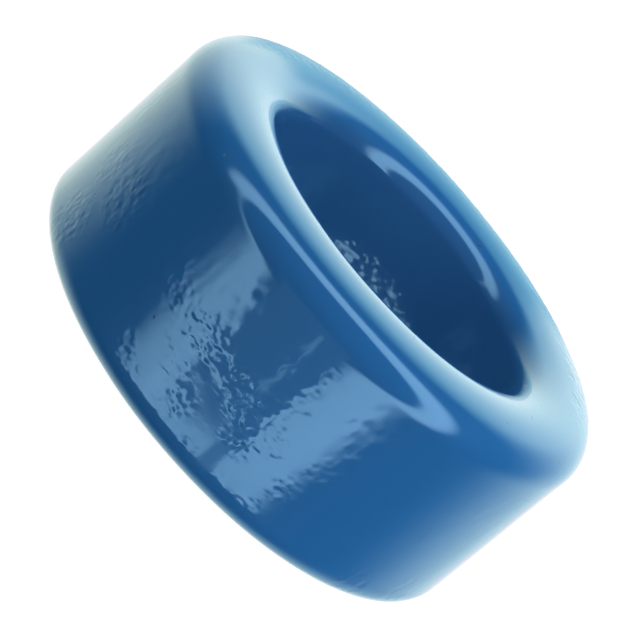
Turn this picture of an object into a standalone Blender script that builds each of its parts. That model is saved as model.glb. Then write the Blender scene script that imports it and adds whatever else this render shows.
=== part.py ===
"""A ferrite toroid core in its epoxy coat: the ring that a coil's wire is wound through.

Units are metres and +Z is up. The ring lies flat on one end face. The bore's axis is Z,
and the origin is where that axis meets the lower end face.
"""
import math

import bpy

# Sizes over the coat. The wall is the ring's thickness from the bore to the outer side
OUTER_DIAMETER = 0.0367
WALL = 0.00685
HEIGHT = 0.0158

# The upper end is a crown between two rounded rims, all three tangent to each other
OUTER_RIM_RADIUS = 0.0024
BORE_RIM_RADIUS = 0.0025
CROWN_SLOPE_DEG = 22.0

# The lower end is a flat face between two smaller rounded edges
OUTER_FOOT_RADIUS = 0.00155
BORE_FOOT_RADIUS = 0.0016

# The most of the wall, and of the height, that one rounded edge may take
MOST_OF_WALL = 0.45
MOST_OF_HEIGHT = 0.3

# Fineness of the turned surface
RING_STEPS = 96
RIM_STEPS = 8
CROWN_STEPS = 8
FOOT_STEPS = 6
MERGE_DISTANCE = 0.00001

COAT_COLOUR = (0.016, 0.125, 0.37, 1.0)
COAT_ROUGHNESS = 0.08


def clear_scene():
    for obj in list(bpy.data.objects):
        bpy.data.objects.remove(obj, do_unlink=True)


def coat_material():
    """Gloss blue epoxy."""
    material = bpy.data.materials.new("blue_epoxy_coat")
    material.use_nodes = True
    shader = material.node_tree.nodes["Principled BSDF"]
    shader.inputs["Base Color"].default_value = COAT_COLOUR
    shader.inputs["Roughness"].default_value = COAT_ROUGHNESS
    shader.inputs["Metallic"].default_value = 0.0
    return material


def fitted(radius):
    """A rounded edge's radius, held to what the wall and the height have room for."""
    return min(radius, WALL * MOST_OF_WALL, HEIGHT * MOST_OF_HEIGHT)


def arc(centre_x, centre_z, radius, start_deg, end_deg, steps):
    """Points on an arc, both ends included. The angles are those of the outward normal."""
    points = []
    for i in range(steps + 1):
        angle = math.radians(start_deg + (end_deg - start_deg) * i / steps)
        x = centre_x + radius * math.cos(angle)
        z = centre_z + radius * math.sin(angle)
        points.append((x, 0.0, z))
    return points


def ring_section():
    """The closed section at +X, from the bore over the crown and down the outer side."""
    outer = OUTER_DIAMETER / 2
    bore = outer - WALL
    outer_rim = fitted(OUTER_RIM_RADIUS)
    bore_rim = fitted(BORE_RIM_RADIUS)
    outer_foot = fitted(OUTER_FOOT_RADIUS)
    bore_foot = fitted(BORE_FOOT_RADIUS)

    # The crown's radius is the one that meets both rims at the same slope
    rise = math.cos(math.radians(CROWN_SLOPE_DEG))
    run = math.sin(math.radians(CROWN_SLOPE_DEG))
    rims_across = (outer_rim + bore_rim) * (1 - run)
    crown = (WALL - rims_across) / (2 * run)
    crown_x = outer - outer_rim + (outer_rim - crown) * run
    crown_z = HEIGHT - crown
    outer_rim_z = crown_z + (crown - outer_rim) * rise
    bore_rim_z = crown_z + (crown - bore_rim) * rise

    crown_start = 90 + CROWN_SLOPE_DEG
    crown_end = 90 - CROWN_SLOPE_DEG
    section = arc(bore + bore_rim, bore_rim_z, bore_rim, 180, crown_start, RIM_STEPS)
    section += arc(crown_x, crown_z, crown, crown_start, crown_end, CROWN_STEPS)[1:]
    section += arc(outer - outer_rim, outer_rim_z, outer_rim, crown_end, 0, RIM_STEPS)[1:]
    section += arc(outer - outer_foot, outer_foot, outer_foot, 0, -90, FOOT_STEPS)
    section += arc(bore + bore_foot, bore_foot, bore_foot, -90, -180, FOOT_STEPS)
    return section


def toroid_core(collection):
    """The coated ring, turned about Z from its section."""
    section = ring_section()
    edges = [(i, (i + 1) % len(section)) for i in range(len(section))]
    mesh = bpy.data.meshes.new("toroid_core")
    mesh.from_pydata(section, edges, [])
    mesh.materials.append(coat_material())
    core = bpy.data.objects.new("toroid_core", mesh)
    collection.objects.link(core)

    turn = core.modifiers.new("turn", "SCREW")
    turn.axis = "Z"
    turn.angle = 2 * math.pi
    turn.steps = RING_STEPS
    turn.render_steps = RING_STEPS
    turn.use_merge_vertices = True
    turn.merge_threshold = MERGE_DISTANCE
    turn.use_smooth_shade = True
    return core


def main():
    clear_scene()
    collection = bpy.data.collections.new("ferrite_toroid_core")
    bpy.context.scene.collection.children.link(collection)
    toroid_core(collection)


main()
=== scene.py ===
# %% [markdown]
# # A ferrite toroid core in gloss blue epoxy
#
# This lesson dresses a small magnetic core, the ring that a coil's wire is wound through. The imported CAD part
# gives its size and its place. Here the ring gets the uneven surface of a dipped coat, the gloss of the
# epoxy, and the light of a small studio set: a pale backdrop, a lit card with a hole for the lens, and a gel.

# %% The frame
import math
import random

import bpy
from mathutils import Euler, Matrix, Vector, noise
from mathutils.kdtree import KDTree


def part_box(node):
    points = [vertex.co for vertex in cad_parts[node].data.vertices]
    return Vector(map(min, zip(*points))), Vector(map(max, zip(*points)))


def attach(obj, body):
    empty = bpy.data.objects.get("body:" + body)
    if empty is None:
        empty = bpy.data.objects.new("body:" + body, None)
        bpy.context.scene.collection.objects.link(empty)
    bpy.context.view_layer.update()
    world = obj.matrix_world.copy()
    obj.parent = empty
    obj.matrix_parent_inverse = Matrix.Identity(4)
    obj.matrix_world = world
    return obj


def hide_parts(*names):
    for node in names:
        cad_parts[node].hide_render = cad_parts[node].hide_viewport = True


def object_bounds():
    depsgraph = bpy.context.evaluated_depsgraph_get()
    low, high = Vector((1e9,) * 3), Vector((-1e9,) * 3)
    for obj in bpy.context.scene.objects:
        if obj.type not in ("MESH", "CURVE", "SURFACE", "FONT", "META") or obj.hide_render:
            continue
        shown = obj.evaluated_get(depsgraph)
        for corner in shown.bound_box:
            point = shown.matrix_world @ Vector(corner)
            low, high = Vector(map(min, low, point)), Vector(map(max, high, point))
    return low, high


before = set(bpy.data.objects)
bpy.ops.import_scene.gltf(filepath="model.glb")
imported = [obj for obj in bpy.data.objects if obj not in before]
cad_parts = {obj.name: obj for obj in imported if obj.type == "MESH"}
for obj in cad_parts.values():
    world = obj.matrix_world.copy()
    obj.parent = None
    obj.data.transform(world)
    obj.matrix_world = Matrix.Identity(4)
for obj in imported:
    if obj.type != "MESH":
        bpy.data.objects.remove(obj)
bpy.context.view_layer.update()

MM = 0.001

core_low, core_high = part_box("toroid_core")
outer = core_high.x
height = core_high.z - core_low.z
bore = min(math.hypot(v.co.x, v.co.y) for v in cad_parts["toroid_core"].data.vertices)
centre = Vector((0, 0, height / 2))
print(f"ring: {2 * outer / MM:.2f} mm over the coat, bore {2 * bore / MM:.2f} mm, {height / MM:.2f} mm high")

# %% [markdown]
# ## The camera
#
# The picture was taken from low down, 19 degrees above the ring's end face, with the camera turned on its
# side by about 50 degrees, so that the bore's axis runs to the upper right. A long lens close to a small
# thing still shows perspective, so the distance matters: it is a little over five times the ring's diameter.
# The camera could be placed by eye in the viewport. Worked out from a height angle, a roll and a distance,
# each of the three can be corrected without upsetting the others.

# %% The camera
CAMERA_DISTANCE = 192.85 * MM
CAMERA_ELEVATION = math.radians(19.363)
CAMERA_ROLL = math.radians(49.29)
LENS = 165.8
SENSOR = 36.0
CLIP_START = 10 * MM
AIM_RIGHT = -0.515 * MM
AIM_UP = -0.551 * MM

camera_back = Vector((0, -math.cos(CAMERA_ELEVATION), math.sin(CAMERA_ELEVATION)))
level_right = Vector((1, 0, 0))
level_up = camera_back.cross(level_right)
camera_right = level_right * math.cos(CAMERA_ROLL) + level_up * math.sin(CAMERA_ROLL)
camera_up = camera_back.cross(camera_right)

camera_data = bpy.data.cameras.new("camera")
camera_data.lens = LENS
camera_data.sensor_width = SENSOR
camera_data.clip_start = CLIP_START
camera = bpy.data.objects.new("camera", camera_data)
bpy.context.scene.collection.objects.link(camera)
turned = Matrix((camera_right, camera_up, camera_back)).transposed().to_4x4()
stand = centre + camera_back * CAMERA_DISTANCE + camera_right * AIM_RIGHT + camera_up * AIM_UP
camera.matrix_world = Matrix.Translation(stand) @ turned
bpy.context.scene.camera = camera
print("camera at", [round(value / MM, 2) for value in stand], "mm")

# %% [markdown]
# ## The section of the ring
#
# The ring is round about its bore, so it is drawn once as a section and spun. Its upper end is a crown
# between two rounded rims, and all three arcs meet without a kink. A squashed torus would come near, but it
# has no straight wall and no crown. Spinning a single point about an arc's centre draws that arc, and
# extruding the point draws a straight side, so the whole section comes from one vertex. The steps are short,
# because the coat's ripples need points to move.

# %% Sizes of the section
OUTER_RIM_RADIUS = 2.4 * MM
BORE_RIM_RADIUS = 2.0 * MM
CROWN_SLOPE = math.radians(22)
OUTER_FOOT_RADIUS = 1.55 * MM
BORE_FOOT_RADIUS = 1.6 * MM

wall = outer - bore
slope_rise = math.cos(CROWN_SLOPE)
slope_run = math.sin(CROWN_SLOPE)
crown_radius = (wall - (OUTER_RIM_RADIUS + BORE_RIM_RADIUS) * (1 - slope_run)) / (2 * slope_run)
crown_x = outer - OUTER_RIM_RADIUS + (OUTER_RIM_RADIUS - crown_radius) * slope_run
crown_z = height - crown_radius
outer_rim_z = crown_z + (crown_radius - OUTER_RIM_RADIUS) * slope_rise
bore_rim_z = crown_z + (crown_radius - BORE_RIM_RADIUS) * slope_rise
print(f"the crown's radius is {crown_radius / MM:.2f} mm")


# %% One vertex, arcs and sides
def one_vertex(name, x, z):
    """A new piece of one vertex, left in edit mode."""
    bpy.ops.object.select_all(action="DESELECT")
    bpy.ops.mesh.primitive_plane_add(size=MM, location=(0, 0, 0))
    piece = bpy.context.object
    piece.name = name
    piece.data.name = name
    bpy.ops.object.mode_set(mode="EDIT")
    bpy.ops.mesh.select_all(action="SELECT")
    bpy.ops.mesh.merge(type="CENTER")
    bpy.ops.transform.translate(value=(x, 0, z))
    return piece


def arc(centre_x, centre_z, turn, steps):
    """Draws on from the selected vertex, on an arc about this centre."""
    bpy.ops.mesh.spin(steps=steps, angle=turn, center=(centre_x, 0, centre_z), axis=(0, -1, 0))


def side(x, z, steps):
    """Draws on from the selected vertex, straight on by x and z."""
    for step in range(steps):
        bpy.ops.mesh.extrude_region_move(TRANSFORM_OT_translate={"value": (x / steps, 0, z / steps)})


# %% The section
RIM_STEPS = 12
CROWN_STEPS = 16
WALL_STEPS = 44
FOOT_STEPS = 8
END_FACE_STEPS = 6
BORE_STEPS = 30
SAME_PLACE = 0.01 * MM

rim_turn = math.radians(90) - CROWN_SLOPE
quarter = math.radians(90)
end_face = outer - OUTER_FOOT_RADIUS - (bore + BORE_FOOT_RADIUS)

ring = one_vertex("coated_ring", bore, bore_rim_z)
arc(bore + BORE_RIM_RADIUS, bore_rim_z, rim_turn, RIM_STEPS)
arc(crown_x, crown_z, 2 * CROWN_SLOPE, CROWN_STEPS)
arc(outer - OUTER_RIM_RADIUS, outer_rim_z, rim_turn, RIM_STEPS)
side(0, OUTER_FOOT_RADIUS - outer_rim_z, WALL_STEPS)
arc(outer - OUTER_FOOT_RADIUS, OUTER_FOOT_RADIUS, quarter, FOOT_STEPS)
side(-end_face, 0, END_FACE_STEPS)
arc(bore + BORE_FOOT_RADIUS, BORE_FOOT_RADIUS, quarter, FOOT_STEPS)
side(0, bore_rim_z - BORE_FOOT_RADIUS, BORE_STEPS)
bpy.ops.mesh.select_all(action="SELECT")
bpy.ops.mesh.remove_doubles(threshold=SAME_PLACE)
bpy.ops.object.mode_set(mode="OBJECT")
print("section:", len(ring.data.vertices), "points")

# %% [markdown]
# ## The ring
#
# The section is spun through an eighth of the turn, and a second spin copies that eighth seven times. Where
# the eighths meet, two vertices lie in one place, so doubles are merged before the normals are made to point
# out. A Screw modifier would turn the section as well. The spin leaves a plain mesh at once, with points that
# can be given weights.

# %% Spin
EIGHTH = math.radians(45)
EIGHTH_STEPS = 90
COPIES = 7

bpy.ops.object.mode_set(mode="EDIT")
bpy.ops.mesh.select_all(action="SELECT")
bpy.ops.mesh.spin(steps=EIGHTH_STEPS, angle=EIGHTH, center=(0, 0, 0), axis=(0, 0, 1))
bpy.ops.mesh.select_all(action="SELECT")
bpy.ops.mesh.spin(steps=COPIES, dupli=True, angle=COPIES * EIGHTH, center=(0, 0, 0), axis=(0, 0, 1))
bpy.ops.mesh.select_all(action="SELECT")
bpy.ops.mesh.remove_doubles(threshold=SAME_PLACE)
bpy.ops.mesh.normals_make_consistent(inside=False)
bpy.ops.object.mode_set(mode="OBJECT")
bpy.ops.object.shade_smooth()
print("ring:", len(ring.data.vertices), "points,", 2 * len(ring.data.polygons), "triangles")

# %% [markdown]
# ## A dipped surface
#
# The ring was dipped or sprayed, so no part of it is quite true. The coat in the bore is thicker on one side,
# which puts the bore a tenth of a millimetre off centre. Long swellings come from the coat's thickness. Lumps
# under a millimetre across cover the wall unevenly. Ripples half a millimetre apart stand in patches: along a
# band at half the height, at the foot, down the bore and over the far rim, where the coat is leathery. Such
# patches could be painted by hand, as weights. Here the places are listed, so that each can be moved or
# resized.

# %% Rough places on the wall
# Each place: degrees round the axis from +X, height in mm, size in mm, and how rough it is
FRONT_BAND = (
    (-115, 7.9, 1.7, 0.6),
    (-109, 7.4, 1.7, 0.7),
    (-103, 7.4, 1.7, 0.75),
    (-97, 7.5, 1.8, 0.8),
    (-91, 7.1, 1.7, 0.8),
    (-86, 6.5, 1.8, 0.8),
    (-82, 5.0, 1.8, 0.7),
    (-78, 6.3, 1.5, 0.5),
    (-105, 5.6, 1.2, 0.3),
    (-101, 4.6, 1.4, 0.4),
    (-96, 3.4, 1.5, 0.4),
    (-111, 2.6, 1.4, 0.5),
)
ABOVE_THE_BAND = (
    (-95, 10.6, 1.4, 0.3),
    (-87, 10.2, 1.4, 0.35),
    (-82, 7.9, 1.3, 0.5),
    (-82, 9.8, 1.3, 0.4),
    (-81, 11.5, 1.1, 0.3),
    (-76, 8.6, 1.2, 0.4),
    (-72, 10.2, 1.2, 0.35),
    (-69, 4.4, 1.5, 0.4),
    (-66, 6.8, 1.8, 0.4),
    (-65, 9.2, 1.5, 0.35),
)
ALONG_THE_FOOT = (
    (-106, 1.6, 1.2, 0.35),
    (-98, 1.9, 1.4, 0.25),
    (-88, 1.4, 1.1, 0.3),
    (-80, 1.4, 1.2, 0.4),
    (-72, 1.5, 1.4, 0.45),
    (-62, 1.9, 1.6, 0.4),
    (-41, 1.6, 2.0, 0.7),
    (-27, 1.9, 2.2, 0.4),
)
LEFT_SIDE = (
    (-149, 7.0, 2.6, 0.7),
    (-137, 7.0, 2.8, 0.9),
    (-145, 2.6, 3.0, 0.8),
)

# %% Rough places in the bore
IN_THE_BORE = (
    (69, 7.8, 1.6, 0.12),
    (77, 7.9, 2.0, 0.2),
    (87, 7.9, 2.4, 0.26),
    (97, 8.0, 2.4, 0.28),
    (105, 8.3, 1.8, 0.18),
)


# %% Placing them
def on_ring(degrees, tall, from_axis):
    """The spot at this angle and this height in mm, on the wall or in the bore."""
    angle = math.radians(degrees)
    return Vector((from_axis * math.cos(angle), from_axis * math.sin(angle), tall * MM))


def placed(listed, from_axis):
    return [(on_ring(degrees, tall, from_axis), size * MM, much) for degrees, tall, size, much in listed]


places = placed(FRONT_BAND + ABOVE_THE_BAND + ALONG_THE_FOOT + LEFT_SIDE, outer)
places += placed(IN_THE_BORE, bore)
print(len(places), "rough places that show")

# %% [markdown]
# The back is hidden in the picture, so its places are drawn at random, in the manner of the front: most of
# them at half the height, the rest at the foot. The seed is fixed, so each run gives the same ring.

# %% Rough places on the hidden side
HIDDEN_SEED = 5
HIDDEN_PLACES = 22
HIDDEN_ARC = (0, 170)
HIDDEN_HEIGHTS = (2.2, 7.6, 7.6)
HEIGHT_SPREAD = 0.8
SMALLEST_PLACE = 1.6
LARGEST_PLACE = 3.0
HIDDEN_MUCH = (0.4, 1.0)

chance = random.Random(HIDDEN_SEED)
for number in range(HIDDEN_PLACES):
    degrees = chance.uniform(*HIDDEN_ARC)
    tall = chance.choice(HIDDEN_HEIGHTS) + chance.uniform(-HEIGHT_SPREAD, HEIGHT_SPREAD)
    size = chance.uniform(SMALLEST_PLACE, LARGEST_PLACE) * MM
    places.append((on_ring(degrees, tall, outer), size, chance.uniform(*HIDDEN_MUCH)))

finder = KDTree(len(places))
for number, (middle, size, much) in enumerate(places):
    finder.insert(middle, number)
finder.balance()
print(len(places), "rough places in all")

# %% How rough the coat is
# A pair says where something sets in. It is absent at the first value and full at the second
LEATHER_BACK = (-1 * MM, 6 * MM)
LEATHER_OUT = (14.4 * MM, 15.6 * MM)
LEATHER_UP = (10 * MM, 13 * MM)
LEATHER_PATCH = 3.0 * MM
LEATHER_LEVEL = 1.1
LEATHER_SWING = 1.4
LEAST_ROUGH = 0.01
PLACE_CORE = 0.45


def smooth(value, start, end):
    share = min(max((value - start) / (end - start), 0.0), 1.0)
    return share * share * (3 - 2 * share)


def roughness_at(spot):
    """How strongly the coat ripples at this spot."""
    from_axis = math.hypot(spot.x, spot.y)
    leathery = smooth(spot.y, *LEATHER_BACK) * smooth(from_axis, *LEATHER_OUT) * smooth(spot.z, *LEATHER_UP)
    patchy = LEATHER_LEVEL + LEATHER_SWING * noise.noise(spot / LEATHER_PATCH)
    weight = max(LEAST_ROUGH, leathery * patchy)
    for middle, number, distance in finder.find_range(spot, LARGEST_PLACE * MM):
        size, much = places[number][1:]
        weight = max(weight, much * (1 - smooth(distance, PLACE_CORE * size, size)))
    return weight


# %% How lumpy the coat is
WALL_OUT = (outer - 0.6 * MM, outer - 0.1 * MM)
WALL_TOP = (11.8 * MM, 13.0 * MM)
RIGHT_SIDE = (7 * MM, 12 * MM)
RIGHT_SIDE_QUIETER = 0.65
ABOVE_THE_FOOT = (5 * MM, 7 * MM)
LEAST_LUMPY = 0.06
BORE_OUT = (bore + 0.1 * MM, bore + 0.8 * MM)
BORE_TOP = (11 * MM, 13 * MM)
FAR_BACK = (4 * MM, 12 * MM)
FAR_OUT = (outer - 3.5 * MM, outer - 2.5 * MM)
FAR_RIM_LUMPY = 0.6
LUMP_PATCH = 6.0 * MM
LUMP_SHIFT = Vector((31.7, 12.9, 4.1))
LUMP_EDGES = (-0.1, 0.35)
BETWEEN_PATCHES = 0.35


def lumpiness_at(spot):
    """How lumpy the coat is at this spot: all of it in the bore, in patches on the wall, little elsewhere."""
    from_axis = math.hypot(spot.x, spot.y)
    in_bore = (1 - smooth(from_axis, *BORE_OUT)) * (1 - smooth(spot.z, *BORE_TOP))
    on_wall = smooth(from_axis, *WALL_OUT) * (1 - smooth(spot.z, *WALL_TOP))
    on_wall *= 1 - RIGHT_SIDE_QUIETER * smooth(spot.x, *RIGHT_SIDE)
    on_wall *= LEAST_LUMPY + (1 - LEAST_LUMPY) * smooth(spot.z, *ABOVE_THE_FOOT)
    far_rim = FAR_RIM_LUMPY * smooth(spot.y, *FAR_BACK) * smooth(from_axis, *FAR_OUT)
    in_patch = smooth(noise.noise(spot / LUMP_PATCH - LUMP_SHIFT), *LUMP_EDGES)
    patch = BETWEEN_PATCHES + (1 - BETWEEN_PATCHES) * in_patch
    return max(patch * max(on_wall, far_rim, LEAST_LUMPY), in_bore)


# %% How far the coat stands off centre
OFF_CENTRE_OUT = (bore + 0.5 * MM, bore + 3.0 * MM)


def off_centre_at(spot):
    """The whole shift in the bore, and none of it from the crown outwards."""
    return 1 - smooth(math.hypot(spot.x, spot.y), *OFF_CENTRE_OUT)


# %% Weights on the ring
def weigh(piece, name, weight_at):
    """A vertex group for the modifiers, which holds weights up to 1. The list that comes back isn't cut."""
    weights = [weight_at(vertex.co) for vertex in piece.data.vertices]
    group = piece.vertex_groups.new(name=name)
    for number, weight in enumerate(weights):
        group.add([number], weight, "REPLACE")
    print(f"mean weight of {name}: {sum(weights) / len(weights):.2f}")
    return weights


rough_weights = weigh(ring, "rough", roughness_at)
weigh(ring, "lumpy", lumpiness_at)
weigh(ring, "thicker", off_centre_at)
rough_attribute = ring.data.attributes.new("rough_coat", "FLOAT", "POINT")
rough_attribute.data.foreach_set("value", rough_weights)

# %% [markdown]
# ## Moving the points
#
# A Displace modifier moves each point by a texture and by its weight, and is applied as soon as it is set.
# Bump alone would shade much the same, but a highlight's edge breaks up more truly on real points. The
# ripples' texture has a high contrast, so that it gives single blobs with flat coat between them.

# %% A texture, and a push by it
MIDDLE_GREY = 0.5


def select_only(piece):
    bpy.ops.object.select_all(action="DESELECT")
    piece.select_set(True)
    bpy.context.view_layer.objects.active = piece


def clouds(name, size, depth=0, contrast=1.0, brightness=1.0):
    texture = bpy.data.textures.new(name, "CLOUDS")
    texture.noise_basis = "BLENDER_ORIGINAL"
    texture.noise_scale = size
    texture.noise_depth = depth
    texture.contrast = contrast
    texture.intensity = brightness
    return texture


def displace(piece, name, strength, weights="", texture=None, direction="NORMAL"):
    """Moves the points by a texture, up and down about its middle grey, or evenly where there is none."""
    move = piece.modifiers.new(name, "DISPLACE")
    move.direction = direction
    move.strength = strength
    move.vertex_group = weights
    move.mid_level = 0.0
    if texture:
        move.texture = texture
        move.texture_coords = "LOCAL"
        move.mid_level = MIDDLE_GREY
    bpy.ops.object.modifier_apply(modifier=name)


# %% Swellings, lumps and ripples
BORE_OFF_CENTRE = 0.1 * MM
SWELLING_SIZE = 5.0 * MM
SWELLING_RISE = 0.03 * MM
LUMP_SIZE = 0.75 * MM
LUMP_DEPTH = 1
LUMP_RISE = 0.04 * MM
RIPPLE_SIZE = 0.5 * MM
RIPPLE_RISE = 0.015 * MM
RIPPLE_CONTRAST = 3.0
RIPPLE_BRIGHTNESS = 0.58

select_only(ring)
displace(ring, "off_centre", BORE_OFF_CENTRE, "thicker", direction="X")
swelling_clouds = clouds("swellings", SWELLING_SIZE)
lump_clouds = clouds("lumps", LUMP_SIZE, LUMP_DEPTH)
ripple_clouds = clouds("ripples", RIPPLE_SIZE, contrast=RIPPLE_CONTRAST, brightness=RIPPLE_BRIGHTNESS)
displace(ring, "swellings", SWELLING_RISE, texture=swelling_clouds)
displace(ring, "lumps", LUMP_RISE, "lumpy", lump_clouds)
displace(ring, "ripples", RIPPLE_RISE, "rough", ripple_clouds)
bpy.ops.object.mode_set(mode="EDIT")
bpy.ops.mesh.select_all(action="SELECT")
bpy.ops.mesh.normals_make_consistent(inside=False)
bpy.ops.object.mode_set(mode="OBJECT")
ring_low, ring_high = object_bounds()
print("bounds after the ripples:", [round(value / MM, 2) for value in ring_high - ring_low], "mm")

# %% [markdown]
# ## The coat's material
#
# Blue epoxy over a dark core: a deep blue under a clear, hard gloss, with a few dark specks that settled in it.
# The colour is also a little darker in the bore, which is painted shade for the recess. A coat layer over a
# matt base would give the gloss too, but one layer with an index near epoxy's needs fewer numbers. The finest
# ripples are only bump. Their height comes from a node group, so that another coated piece can use it.


# %% Nodes and their inputs
# These helpers add to the tree that `tree` names. Each group or material names its own before it uses them
def node(kind, **settings):
    made = tree.nodes.new(kind)
    for name, value in settings.items():
        setattr(made, name, value)
    return made


def give(socket, value):
    """Gives a socket its value, which is a number, a colour or another node's output."""
    if isinstance(value, bpy.types.NodeSocket):
        tree.links.new(value, socket)
    else:
        socket.default_value = value


# %% Sums, products and soft steps
def maths(operation, *values):
    made = node("ShaderNodeMath", operation=operation)
    for socket, value in zip(made.inputs, values):
        give(socket, value)
    return made.outputs[0]


def times(first, *others):
    for value in others:
        first = maths("MULTIPLY", first, value)
    return first


def plus(first, *others):
    for value in others:
        first = maths("ADD", first, value)
    return first


def minus(first, second):
    return maths("SUBTRACT", first, second)


def inverse(mask):
    """0 where the mask is 1, and 1 where it is 0."""
    return maths("SUBTRACT", 1.0, mask)


def soft(value, middle, half_width):
    """0 below the middle, 1 above it, with a smooth change over the half width on either side."""
    made = node("ShaderNodeMapRange", interpolation_type="SMOOTHSTEP")
    give(made.inputs["Value"], value)
    give(made.inputs["From Min"], middle - half_width)
    give(made.inputs["From Max"], middle + half_width)
    return made.outputs["Result"]


# %% The relief group
FINE_SIZE = 0.40 * MM
FINE_HEIGHT = 0.6
FAINT_SIZE = 0.25 * MM
FAINT_HEIGHT = 0.012
SPECK_SPACING = 2.6 * MM
SPECK_RADIUS = 0.10 * MM
SPECK_EDGE = 0.4
SPECK_DEPTH = 0.25


def clouds_of(place, size):
    made = node("ShaderNodeTexNoise")
    give(made.inputs["Vector"], place)
    give(made.inputs["Scale"], 1 / size)
    give(made.inputs["Detail"], 0.0)
    return made.outputs["Fac"]


relief = bpy.data.node_groups.new("coat_relief", "ShaderNodeTree")
relief.interface.new_socket("Position", in_out="INPUT", socket_type="NodeSocketVector")
relief.interface.new_socket("Rough", in_out="INPUT", socket_type="NodeSocketFloat")
relief.interface.new_socket("Height", in_out="OUTPUT", socket_type="NodeSocketFloat")
relief.interface.new_socket("Speck", in_out="OUTPUT", socket_type="NodeSocketFloat")
tree = relief
given = node("NodeGroupInput")
result = node("NodeGroupOutput")
position = given.outputs["Position"]
fine = times(clouds_of(position, FINE_SIZE), times(given.outputs["Rough"], FINE_HEIGHT))
faint = times(clouds_of(position, FAINT_SIZE), FAINT_HEIGHT)
points = node("ShaderNodeTexVoronoi")
give(points.inputs["Vector"], position)
give(points.inputs["Scale"], 1 / SPECK_SPACING)
speck_share = SPECK_RADIUS / SPECK_SPACING
speck = inverse(soft(points.outputs["Distance"], speck_share, SPECK_EDGE * speck_share))
give(result.inputs["Height"], minus(plus(fine, faint), times(speck, SPECK_DEPTH)))
give(result.inputs["Speck"], speck)
print("relief group:", len(tree.nodes), "nodes")


# %% Places on the ring, and mixed colours
def coordinates(kind="Object"):
    """The shaded spot, whole and then as X, Y and Z."""
    whole = node("ShaderNodeTexCoord").outputs[kind]
    split = node("ShaderNodeSeparateXYZ")
    give(split.inputs[0], whole)
    return whole, *split.outputs


def distance_from_axis(x, y):
    return maths("SQRT", plus(times(x, x), times(y, y)))


def blended(first, second, share):
    """A colour between the first, where the share is 0, and the second, where it is 1."""
    made = node("ShaderNodeMix", data_type="RGBA")
    give(made.inputs["A"], first)
    give(made.inputs["B"], second)
    give(made.inputs["Factor"], share)
    return made.outputs["Result"]


# %% The coat
COAT_COLOUR = (0.012, 0.089, 0.255, 1)
DARK_COLOUR = (0.03, 0.032, 0.045, 1)
COAT_IOR = 1.6
COAT_TINT = (0.37, 0.73, 1.0, 1)
COAT_ROUGHNESS = 0.075
RIPPLES_ROUGHER = 0.015
SPECK_DARKER = 0.8
# Painted shade: in the bore the coat's colour is mixed towards the dark colour by this share
BORE_PAINTED_SHADE = 0.18
BORE_EDGE = bore + 0.5 * MM
BORE_EDGE_SOFT = 0.4 * MM
BUMP_DISTANCE = 0.05 * MM

coat = bpy.data.materials.new("blue_epoxy_coat")
coat.use_nodes = True
tree = coat.node_tree
shader = tree.nodes["Principled BSDF"]
shader.inputs["IOR"].default_value = COAT_IOR
shader.inputs["Specular Tint"].default_value = COAT_TINT
spot, x, y = coordinates()[:3]
rough = node("ShaderNodeAttribute", attribute_name="rough_coat").outputs["Fac"]
heights = node("ShaderNodeGroup", node_tree=relief)
give(heights.inputs["Position"], spot)
give(heights.inputs["Rough"], rough)
in_bore = inverse(soft(distance_from_axis(x, y), BORE_EDGE, BORE_EDGE_SOFT))
# The specks are dark marks in the coat. The darkening in the bore is painted shade
darker = plus(times(heights.outputs["Speck"], SPECK_DARKER), times(in_bore, BORE_PAINTED_SHADE))
give(shader.inputs["Base Color"], blended(COAT_COLOUR, DARK_COLOUR, darker))
give(shader.inputs["Roughness"], plus(times(rough, RIPPLES_ROUGHER), COAT_ROUGHNESS))
bump = node("ShaderNodeBump")
give(bump.inputs["Distance"], BUMP_DISTANCE)
give(bump.inputs["Height"], heights.outputs["Height"])
give(shader.inputs["Normal"], bump.outputs["Normal"])
ring.data.materials.clear()
ring.data.materials.append(coat)
print("coat:", len(tree.nodes), "nodes")

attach(ring, "root")
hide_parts("toroid_core")

# %% [markdown]
# ## The lit card
#
# The photograph's highlights show what stood in front of the ring: a big lit card, tipped over it, with a
# round hole for the lens and a dark slit at the left. The two long streaks on the rims and the two bright
# lobes on the wall are this one card. The dark bite between the lobes is the hole and, below it, the dark
# shape of the camera with a thin lit gap in it. Area lamps could stand there instead, but a card that glows
# in a pattern gives a reflection its exact outline.

# %% The card
diameter = 2 * outer
CARD_DISTANCE = 2.24 * diameter
CARD_TIP = math.radians(61.0)
CARD_TURN = math.radians(3.2)
CARD_SIZE = 14 * diameter


def plane(name, size):
    bpy.ops.object.select_all(action="DESELECT")
    bpy.ops.mesh.primitive_plane_add(size=size)
    piece = bpy.context.object
    piece.name = name
    return piece


card = plane("lit_card", CARD_SIZE)
card.location = centre + camera_back * CARD_DISTANCE
card.rotation_euler = Euler((CARD_TIP, 0, CARD_TURN))
card.visible_camera = False
card.visible_shadow = False
print(f"card: {CARD_SIZE / MM:.0f} mm wide, {CARD_DISTANCE / MM:.0f} mm in front of the ring")


# %% Shapes on the card
def reach(x, y, middle_x, middle_y, half_width, half_height):
    """The distance from an ellipse's middle, as a share of its half axes."""
    across = maths("DIVIDE", minus(x, middle_x), half_width)
    along = maths("DIVIDE", minus(y, middle_y), half_height)
    return maths("SQRT", plus(times(across, across), times(along, along)))


def window(value, start, end, half_width):
    """1 between the start and the end, 0 outside."""
    return times(soft(value, start, half_width), inverse(soft(value, end, half_width)))


def emptied(owner):
    """The owner's node tree with nothing in it."""
    owner.use_nodes = True
    owner.node_tree.nodes.clear()
    return owner.node_tree


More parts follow.
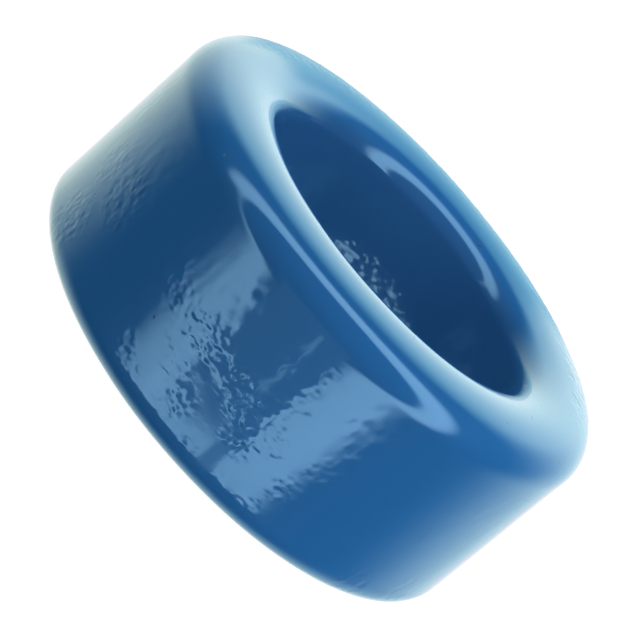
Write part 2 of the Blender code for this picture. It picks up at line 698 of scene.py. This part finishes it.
# %% Where the card is lit
# All in ring diameters from the card's middle, x to the right and y up. Four numbers are an ellipse's middle
# and half axes, three are a window's start, end and half width, and two are a step's middle and half width
HOLE = (-0.322, -0.085, 2.543, 2.015)
HOLE_SOFT = 0.09
CARD_OUTLINE = (-0.4, -0.127, 4.4, 3.916)
OUTLINE_SOFT = 0.2
LOWER_EDGE = (-2.45, 0.035)
LOWER_EDGE_MIDDLE = 0.2
LOWER_EDGE_BOW = 0.07
SLIT_TALL = (-2.694, 0.833, 0.6)
SLIT_END = (-2.871, 0.8)
CORNER_TOP = (-1.6, 0.4)
CORNER_INNER = (2.65, 0.4)
CORNER_INNER_DIMMER = 0.56
CORNER_OUTER = (3.75, 0.5)
CORNER_OUTER_DIMMER = 0.4

glow = bpy.data.materials.new("card_glow")
tree = emptied(glow)
x, y = [maths("DIVIDE", value, diameter) for value in coordinates()[1:3]]
past_hole = soft(reach(x, y, *HOLE), 1.0, HOLE_SOFT)
slit = times(window(y, *SLIT_TALL), inverse(soft(x, *SLIT_END)))
corner = times(soft(x, *CORNER_INNER), CORNER_INNER_DIMMER)
corner = plus(corner, times(soft(x, *CORNER_OUTER), CORNER_OUTER_DIMMER))
corner = times(corner, inverse(soft(y, *CORNER_TOP)))
from_middle = minus(x, LOWER_EDGE_MIDDLE)
bow = times(from_middle, from_middle, LOWER_EDGE_BOW)
on_card = inverse(soft(reach(x, y, *CARD_OUTLINE), 1.0, OUTLINE_SOFT))
on_card = times(on_card, soft(plus(y, bow), *LOWER_EDGE))
lit = times(past_hole, inverse(slit), on_card, inverse(corner))
print("the card's outline:", len(tree.nodes), "nodes")

# %% The camera's dark shape, and the card's glow
# The body hides the card under the hole, and a post under it hides a strip. Light comes through a gap
BODY_WIDE = (-1.05, 0.85, 0.03)
BODY_TALL = (-2.27, -1.0, 0.015)
POST_WIDE = (0.46, 0.83, 0.07)
POST_TALL = (-3.2, -2.0, 0.2)
POST_DARK = 0.8
GAP_WIDE = (0.2, 0.3, 0.05)
GAP_TALL = (-2.05, -1.65, 0.1)
GAP_LIT = 0.4
BODY_LIT = 0.08
BRIGHTER_RIGHT = 0.052
BRIGHTER_UP = 0.023
UNDER_BODY_WIDE = (-1.7, 0.3, 0.25)
UNDER_BODY_TOP = (-2.32, 0.06)
UNDER_BODY_BRIGHTER = 0.16
CARD_GLOW = 4.82
CARD_AMBIENT = 0.15


def show(shader, kind="ShaderNodeOutputMaterial"):
    """Leads the shader to a new output node."""
    give(node(kind).inputs["Surface"], shader)


body = times(window(x, *BODY_WIDE), window(y, *BODY_TALL))
post = times(window(x, *POST_WIDE), window(y, *POST_TALL), POST_DARK)
dark = maths("MAXIMUM", body, post)
gap = times(window(x, *GAP_WIDE), window(y, *GAP_TALL))
under_body = times(window(x, *UNDER_BODY_WIDE), inverse(soft(y, *UNDER_BODY_TOP)))
level = plus(times(x, BRIGHTER_RIGHT), times(y, BRIGHTER_UP), 1.0, times(under_body, UNDER_BODY_BRIGHTER))
lit = times(lit, inverse(dark), level)
lit = plus(lit, times(dark, BODY_LIT), times(gap, GAP_LIT))
emission = node("ShaderNodeEmission")
give(emission.inputs["Strength"], plus(times(lit, CARD_GLOW), CARD_AMBIENT))
show(emission.outputs[0])
card.data.materials.append(glow)
print("card's glow:", len(tree.nodes), "nodes")

# %% [markdown]
# ## A gel over the far rim
#
# The far rim shows the backdrop bluer and dimmer than the bore's near edge does, though both face the same
# way, so something low stood close behind the ring. A dimmer backdrop would dim both edges. A gel reaches
# the far one alone: a clear blue film, bent over the far rim, close above it and close behind it. Its tint
# fades out at every edge, and only reflections see it. It is drawn as the ring is, as a section from one
# vertex, and spun half a turn.

# %% The gel's film
GEL_INNER = 12.6 * MM
GEL_REACH = 19.4 * MM
GEL_ABOVE = 0.7 * MM
GEL_DROP = 11.0 * MM
GEL_STEPS = 48

# The angle is negative, because a positive one spins the film over the near rim
gel = one_vertex("gel", GEL_INNER, height + GEL_ABOVE)
side(GEL_REACH - GEL_INNER, 0, 1)
side(0, -GEL_DROP, 1)
bpy.ops.mesh.select_all(action="SELECT")
bpy.ops.mesh.spin(steps=GEL_STEPS, angle=-2 * quarter, center=(0, 0, 0), axis=(0, 0, 1))
bpy.ops.object.mode_set(mode="OBJECT")
gel.visible_camera = False
gel.visible_shadow = False
gel.visible_diffuse = False
gel.visible_transmission = False
print("gel:", len(gel.data.polygons), "faces")

# %% The gel's tint
GEL_TINT = (0.45, 0.64, 0.72, 1)
WHITE = (1, 1, 1, 1)
FILM_ROUND = (math.radians(52), math.radians(158), math.radians(8))
FILM_INNER = (13.6 * MM, 0.8 * MM)
FILM_LOWER = (8.0 * MM, 1.5 * MM)

tinted = bpy.data.materials.new("blue_gel")
tree = emptied(tinted)
x, y, z = coordinates()[1:]
film_share = window(maths("ARCTAN2", y, x), *FILM_ROUND)
film_share = times(film_share, soft(distance_from_axis(x, y), *FILM_INNER), soft(z, *FILM_LOWER))
film = node("ShaderNodeBsdfTransparent")
give(film.inputs["Color"], blended(WHITE, GEL_TINT, film_share))
show(film.outputs[0])
gel.data.materials.append(tinted)
print("gel's tint:", len(tree.nodes), "nodes")

# %% [markdown]
# ## The floor
#
# The ring lies on a plain pale floor that runs on to white. A matt floor alone would render grey wherever the
# light falls off, so most of it glows plain white, and a small matt share keeps the ring's soft shadow. The
# ring doesn't mirror the floor, because the backdrop below already gives the reflections that show.

# %% The floor
FLOOR_SIZE = 4000 * MM
FLOOR_COLOUR = (0.8, 0.8, 0.8, 1)
FLOOR_GLOW = 1.12
SHADOW_SHARE = 0.12


def mix_shaders(first, second, share):
    """The first shader where the share is 0, the second where it is 1."""
    made = node("ShaderNodeMixShader")
    give(made.inputs["Fac"], share)
    give(made.inputs[1], first)
    give(made.inputs[2], second)
    return made.outputs[0]


floor = plane("floor", FLOOR_SIZE)
floor.visible_glossy = False
floor.visible_diffuse = False
floor.visible_shadow = False
pale = bpy.data.materials.new("pale_floor")
tree = emptied(pale)
matt = node("ShaderNodeBsdfDiffuse")
give(matt.inputs["Color"], FLOOR_COLOUR)
glowing_white = node("ShaderNodeEmission")
give(glowing_white.inputs["Strength"], FLOOR_GLOW)
show(mix_shaders(matt.outputs[0], glowing_white.outputs[0], 1 - SHADOW_SHARE))
floor.data.materials.append(pale)
print(f"floor: {FLOOR_SIZE / MM:.0f} mm wide")

# %% [markdown]
# ## The backdrop
#
# Behind the ring hung a bright pale backdrop, and the room in front was dark. The world stands for both. Its
# light depends only on a ray's direction: X is how far it goes to the right, Z how far up, and the product
# with the direction from the camera to the ring is 1 straight on and 0 to the side. A panorama picture could
# do the same, but a few soft steps can be set one by one until each highlight sits where it should.

# %% Where the backdrop is lit
# It sets in where the product is EDGE, and further round high up, low down and at the left
EDGE = 0.42
EDGE_SOFT = 0.34
EDGE_SPREAD = 0.24
EDGE_LEAN = 0.02
UPPER_PART = (0.0, 0.6, 0.15)
UPPER_LEAN = 0.07
HIGH_UP = (0.55, 0.3)
HIGH_EDGE_LATER = 0.03
HIGH_EDGE_SHARPER = 0.6

world = bpy.data.worlds.new("backdrop")
bpy.context.scene.world = world
tree = emptied(world)
direction, x, y, z = coordinates("Generated")
product = node("ShaderNodeVectorMath", operation="DOT_PRODUCT")
give(product.inputs[0], direction)
give(product.inputs[1], -camera_back)
straight_on = product.outputs["Value"]
high_up = soft(z, *HIGH_UP)
lean = plus(times(window(z, *UPPER_PART), UPPER_LEAN), EDGE_LEAN)
behind = plus(minus(straight_on, times(x, lean)), times(maths("ABSOLUTE", z), EDGE_SPREAD))
behind = minus(minus(behind, EDGE), times(high_up, HIGH_EDGE_LATER))
behind = times(behind, plus(times(high_up, HIGH_EDGE_SHARPER), 1.0))
backdrop_share = soft(behind, 0.0, EDGE_SOFT)
print("the backdrop's edge:", len(tree.nodes), "nodes")

# %% How bright the backdrop is
# Brighter high up in the middle, and dimmer at the right and level behind the ring
BACKDROP_LOW = 1.65
BACKDROP_RISE = 1.45
RISE_UP = (0.2, 0.6)
BESIDE = (0.45, 0.4)
BESIDE_LESS_RISE = -0.9
RIGHT = (0.3, 0.3)
RIGHT_DIMMER = 0.07
STRAIGHT = (0.92, 0.07)
LEVEL_TOP = (0.15, 0.15)
LEVEL_DIMMER = 0.28
AMBIENT = 0.06

beside = soft(maths("ABSOLUTE", x), *BESIDE)
rise = times(soft(z, *RISE_UP), plus(times(beside, BESIDE_LESS_RISE), 1.0))
straight = soft(straight_on, *STRAIGHT)
level_behind = times(straight, inverse(soft(z, *LEVEL_TOP)))
brightness = plus(times(rise, BACKDROP_RISE), BACKDROP_LOW)
brightness = times(brightness, inverse(times(soft(x, *RIGHT), RIGHT_DIMMER)))
brightness = times(brightness, inverse(times(level_behind, LEVEL_DIMMER)))
glowing = plus(times(backdrop_share, brightness), AMBIENT)
print(f"backdrop: from {BACKDROP_LOW:.2f} low down to {BACKDROP_LOW + BACKDROP_RISE:.2f} high up")

# %% The backdrop's colours
BACKDROP_LEFT = (0.85, 1.0, 0.82, 1)
BACKDROP_RIGHT = (0.76, 1.0, 0.9, 1)
BACKDROP_ABOVE = (0.66, 1.0, 0.83, 1)
LEFT_TO_RIGHT = (0.0, 0.6)
ABOVE = (0.6, 0.25)


def background(colour, strength):
    made = node("ShaderNodeBackground")
    give(made.inputs["Color"], colour)
    give(made.inputs["Strength"], strength)
    return made.outputs[0]


backdrop_colour = blended(BACKDROP_LEFT, BACKDROP_RIGHT, soft(x, *LEFT_TO_RIGHT))
backdrop_colour = blended(backdrop_colour, WHITE, straight)
backdrop_colour = blended(backdrop_colour, BACKDROP_ABOVE, soft(z, *ABOVE))
mirrored = background(backdrop_colour, glowing)

# %% [markdown]
# ## What each kind of ray sees
#
# The gloss mirrors the bright backdrop, but as a lamp the same backdrop would wash out the coat's own blue.
# In the picture that blue is lit softly, from below and from the right. Dimming the backdrop would dim its
# reflection too, so diffuse rays get a fill of their own, and camera rays see plain white.

# %% The fill, and the rays
FILL_COLOUR = (0.9, 1, 1, 1)
FOR_MATT = 0.18
BELOW_TOP = (-0.2, 0.3)
FROM_BELOW = 0.42
RIGHT_SETS_IN = (0.5, 0.4)
FROM_THE_RIGHT = 0.9

below = times(inverse(soft(z, *BELOW_TOP)), FROM_BELOW)
from_right = times(soft(x, *RIGHT_SETS_IN), FROM_THE_RIGHT)
fill = background(FILL_COLOUR, plus(times(glowing, FOR_MATT), below, from_right))
rays = node("ShaderNodeLightPath")
lighting = mix_shaders(mirrored, fill, rays.outputs["Is Diffuse Ray"])
seen = mix_shaders(lighting, background(WHITE, 1.0), rays.outputs["Is Camera Ray"])
show(seen, "ShaderNodeOutputWorld")
bpy.context.scene.view_settings.view_transform = "Standard"
print("backdrop:", len(tree.nodes), "nodes")
